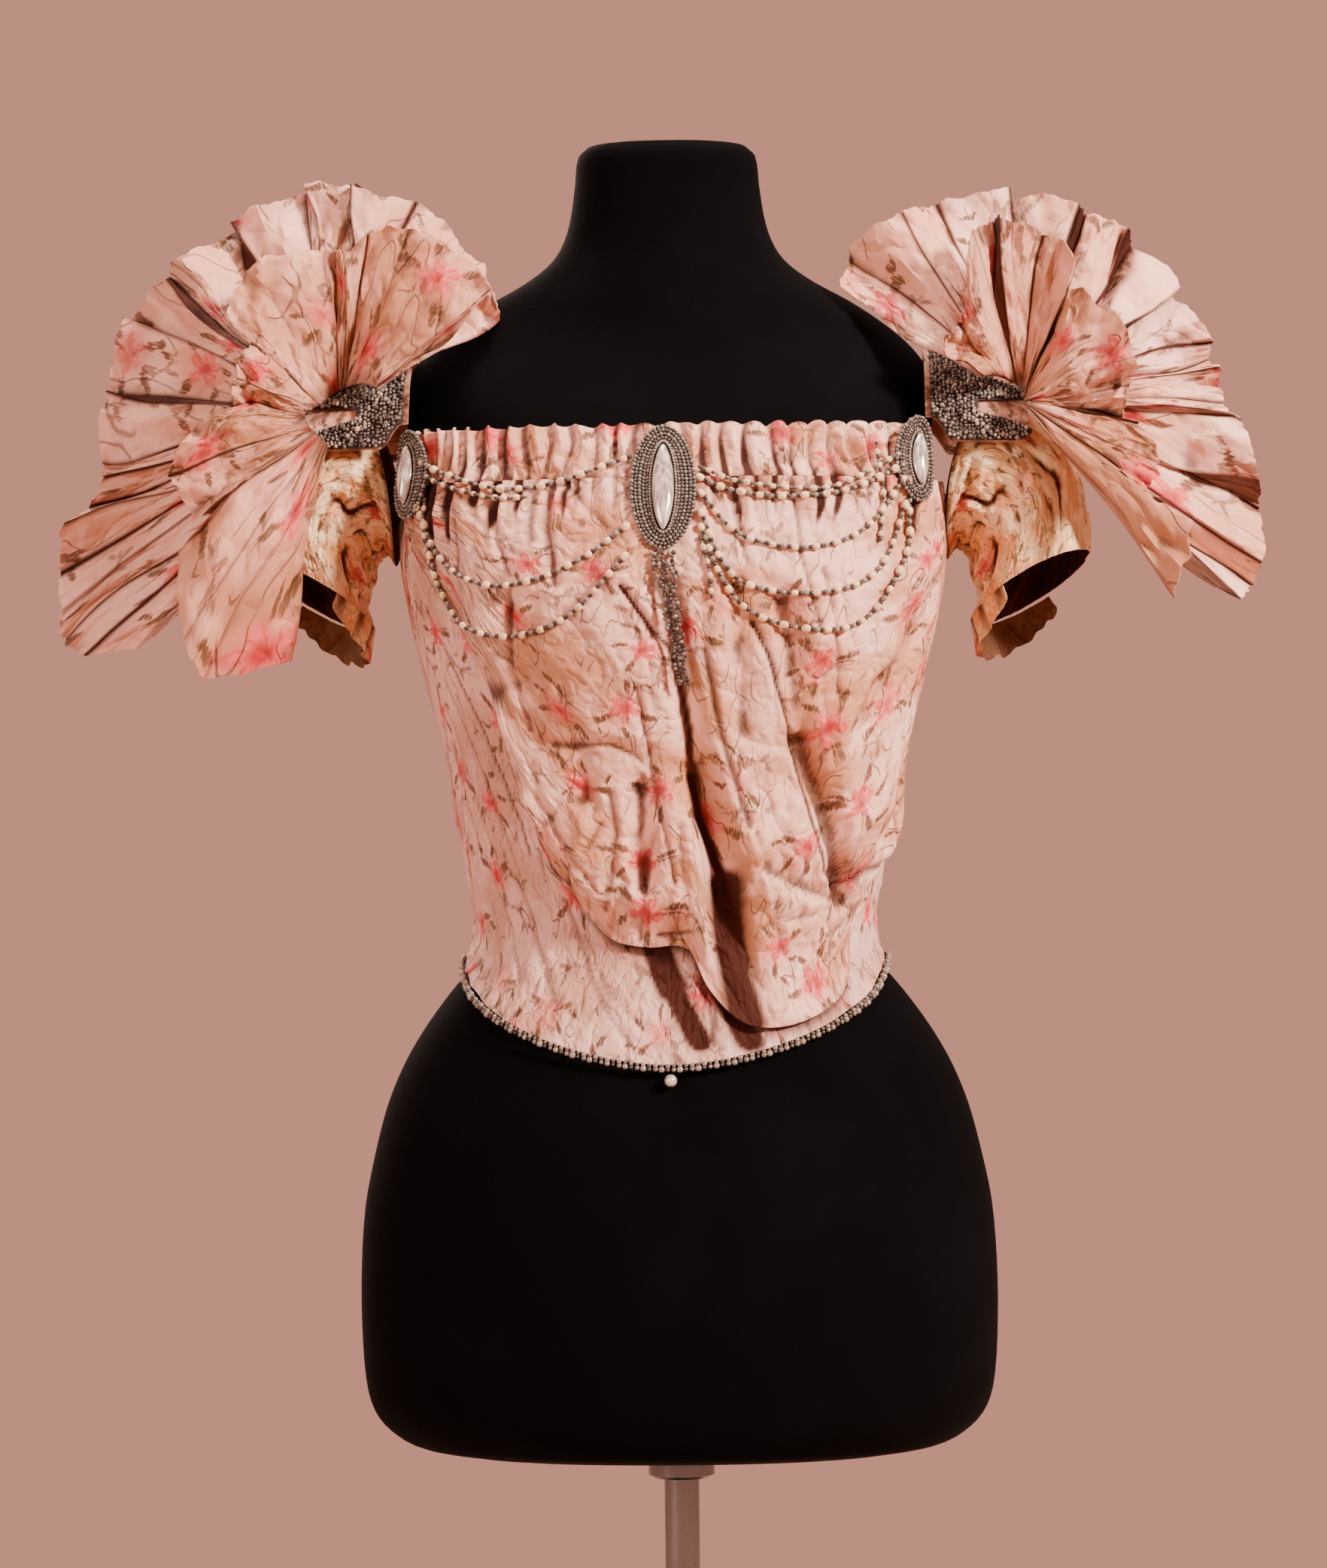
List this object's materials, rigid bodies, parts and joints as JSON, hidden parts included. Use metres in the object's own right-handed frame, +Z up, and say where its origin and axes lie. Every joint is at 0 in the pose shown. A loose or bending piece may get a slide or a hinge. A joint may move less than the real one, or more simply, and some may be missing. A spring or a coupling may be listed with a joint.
{
  "type": "evening bodice on dress form",
  "caption": "Pointed evening bodice with pleated shoulder ruffles, short puffed sleeves and beaded trim, worn by a limbless dress form on a post and a round base.",
  "frame": {"origin": "middle of the underside of the round base", "axes": "+Z up, -Y towards the front of the bodice, +X to the viewer's right"},
  "size_m": [0.692, 0.3, 0.946],
  "materials": {
    "silk": "soft satin sheen, warp-printed flowers",
    "chiffon": "crinkled, matt",
    "beads": "small grey and silver beads",
    "stone": "pearly, glossy",
    "form": "matt black jersey",
    "steel": "brushed"
  },
  "bodies": {
    "root": {"back_lap": "silk", "back_left": "silk", "back_right": "silk", "braid_left": "beads", "braid_right": "beads", "cuff_frill_left": "chiffon", "cuff_frill_right": "chiffon", "form_body": "form", "front_left": "silk", "front_right": "silk", "heading_back": "silk", "heading_front": "silk", "hem_cord": "beads", "hem_pearl": "stone", "loose_front": "silk", "plaque_centre": "beads", "plaque_left": "beads", "plaque_right": "beads", "ruffle_left_inner": "silk", "ruffle_left_outer": "silk", "ruffle_right_inner": "silk", "ruffle_right_outer": "silk", "side_left": "silk", "side_right": "silk", "sleeve_left": "chiffon", "sleeve_right": "chiffon", "stand_base": "steel", "stand_collar": "steel", "stand_post": "steel", "stone_centre": "stone", "stone_left": "stone", "stone_right": "stone", "strap_left": "silk", "strap_right": "silk", "tail": "beads"}
  },
  "joints": []
}
